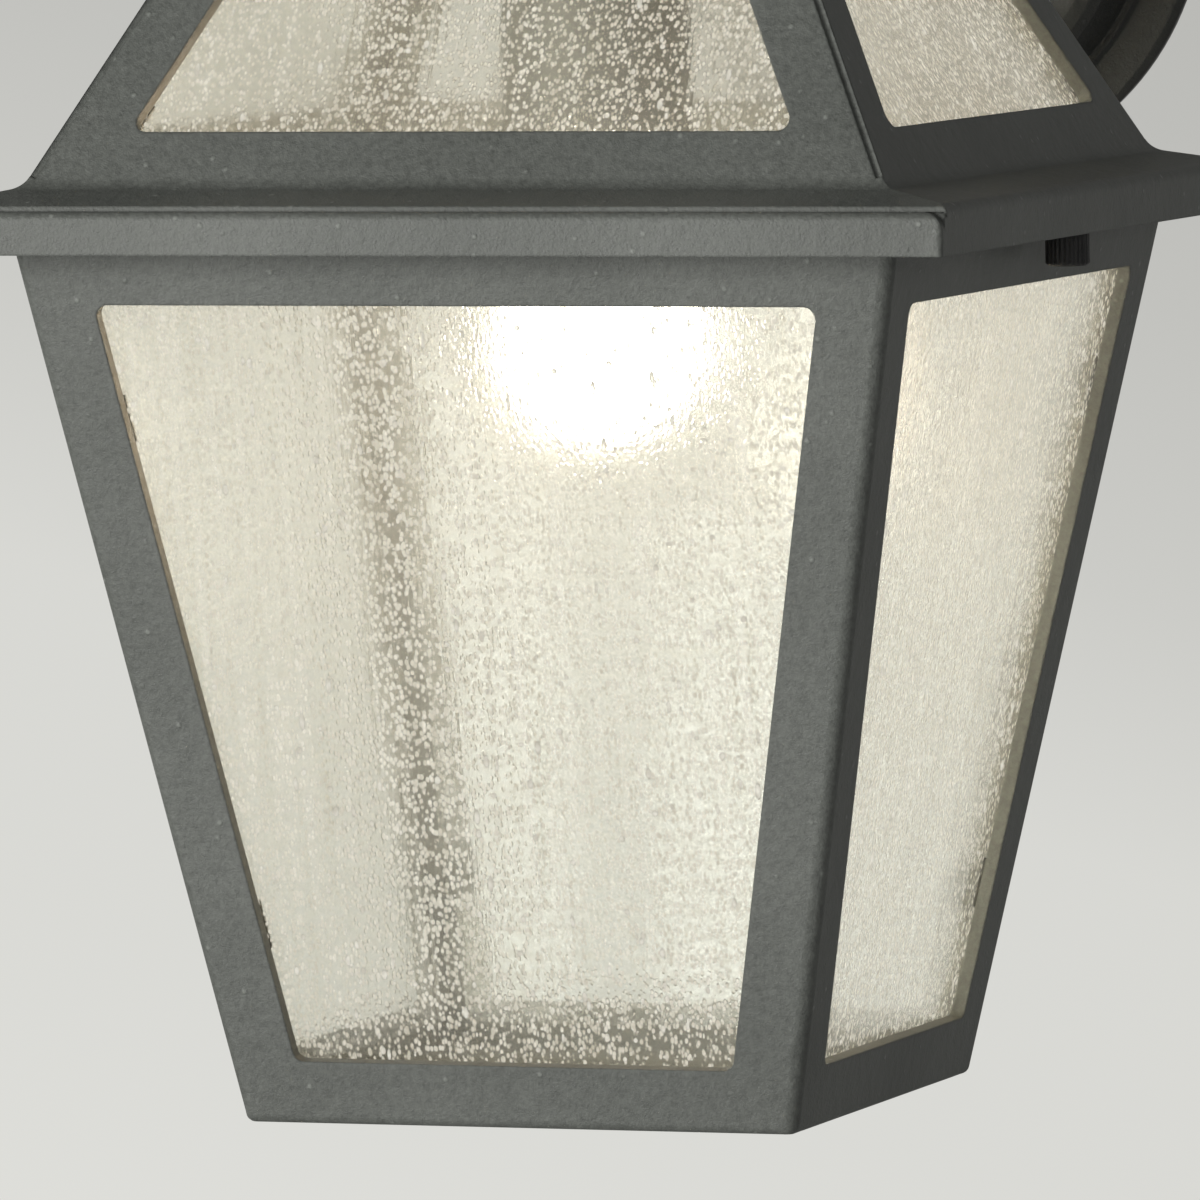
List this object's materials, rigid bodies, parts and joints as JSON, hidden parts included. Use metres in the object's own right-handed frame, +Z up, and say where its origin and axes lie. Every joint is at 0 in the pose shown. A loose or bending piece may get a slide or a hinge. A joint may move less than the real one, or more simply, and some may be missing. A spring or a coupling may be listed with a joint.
{
  "type": "outdoor wall lantern",
  "caption": "Outdoor wall lantern: tapered seeded-glass cage under a flared four-sided glazed roof, on a crook arm from a round wall plate, with a lamp inside.",
  "frame": {"origin": "centre of the round wall plate, on the wall's face", "axes": "+Z up, +Y into the wall, -Y out from the wall towards the lantern's front"},
  "size_m": [0.2286, 0.3618, 0.49],
  "materials": {
    "coat": "sand-textured dark grey powder coat on cast aluminium",
    "nut_black": "satin black",
    "zinc": "zinc plated",
    "ground_green": "green plated",
    "foam": "closed-cell foam",
    "moulding": "dark moulded phenolic",
    "brass": "plain",
    "opal": "opal, lit",
    "cap_metal": "bright nickel plate",
    "contact": "black glass insulator with a solder tip",
    "lead_black": "insulated lead",
    "lead_white": "insulated lead",
    "seeded_glass": "clear seeded glass with fine streaks and bubbles"
  },
  "bodies": {
    "lantern": {"roof_frame": "coat", "roof_crown": "coat", "arm": "coat", "arm_collar": "coat", "back_plate": "coat", "lampholder_cup": "coat", "plate_nuts": "nut_black", "cage_studs": "zinc", "roof_glass_clips": "zinc", "roof_clip_screws": "zinc", "mounting_strap": "zinc", "plate_studs": "zinc", "stem_nuts": "zinc", "lampholder_stem": "zinc", "arm_lock_nut": "zinc", "ground_screw": "ground_green", "wall_gasket": "foam", "lampholder_body": "moulding", "screw_shell": "brass", "centre_contact": "brass", "live_lead": "lead_black", "neutral_lead": "lead_white", "roof_glass_front": "seeded_glass", "roof_glass_right": "seeded_glass", "roof_glass_back": "seeded_glass", "roof_glass_left": "seeded_glass"},
    "cage": {"cage_frame": "coat", "cage_glass_clips": "zinc", "cage_clip_screws": "zinc", "cage_floor": "coat", "cage_floor_screws": "zinc", "cage_glass_front": "seeded_glass", "cage_glass_right": "seeded_glass", "cage_glass_back": "seeded_glass", "cage_glass_left": "seeded_glass"},
    "lamp": {"lamp_glass": "opal", "lamp_cap": "cap_metal"},
    "lamp_tip": {"lamp_contact": "contact"},
    "nut_washer_left": {"nut_washer_left": "zinc"},
    "nut_washer_right": {"nut_washer_right": "zinc"},
    "thumb_nut_left": {"thumb_nut_left": "nut_black"},
    "thumb_nut_right": {"thumb_nut_right": "nut_black"}
  },
  "joints": [
    {"name": "cage_lower", "type": "slide", "parent": "lantern", "child": "cage", "axis": [0, 0, -1], "range_m": [0, 0.12]},
    {"name": "lamp_travel", "type": "slide", "parent": "lantern", "child": "lamp_tip", "axis": [0, 0, -1], "range_m": [0, 0.0181]},
    {"name": "lamp_screw", "type": "hinge", "parent": "lamp_tip", "child": "lamp", "pos_m": [0, -0.2475, -0.066], "axis": [0, 0, -1], "range_deg": [0, 1800]},
    {"name": "nut_left_travel", "type": "slide", "parent": "cage", "child": "nut_washer_left", "axis": [0, 0, -1], "range_m": [0, 0.0084]},
    {"name": "nut_left_screw", "type": "hinge", "parent": "nut_washer_left", "child": "thumb_nut_left", "pos_m": [-0.1065, -0.2475, -0.066], "axis": [0, 0, -1], "range_deg": [0, 4320]},
    {"name": "nut_right_travel", "type": "slide", "parent": "cage", "child": "nut_washer_right", "axis": [0, 0, -1], "range_m": [0, 0.0084]},
    {"name": "nut_right_screw", "type": "hinge", "parent": "nut_washer_right", "child": "thumb_nut_right", "pos_m": [0.1065, -0.2475, -0.066], "axis": [0, 0, -1], "range_deg": [0, 4320]}
  ],
  "couplings": [
    {"joint": "lamp_screw", "follows": "lamp_travel", "rad_per_m": 1735.7},
    {"joint": "nut_left_screw", "follows": "nut_left_travel", "rad_per_m": 8976},
    {"joint": "nut_right_screw", "follows": "nut_right_travel", "rad_per_m": 8976}
  ]
}
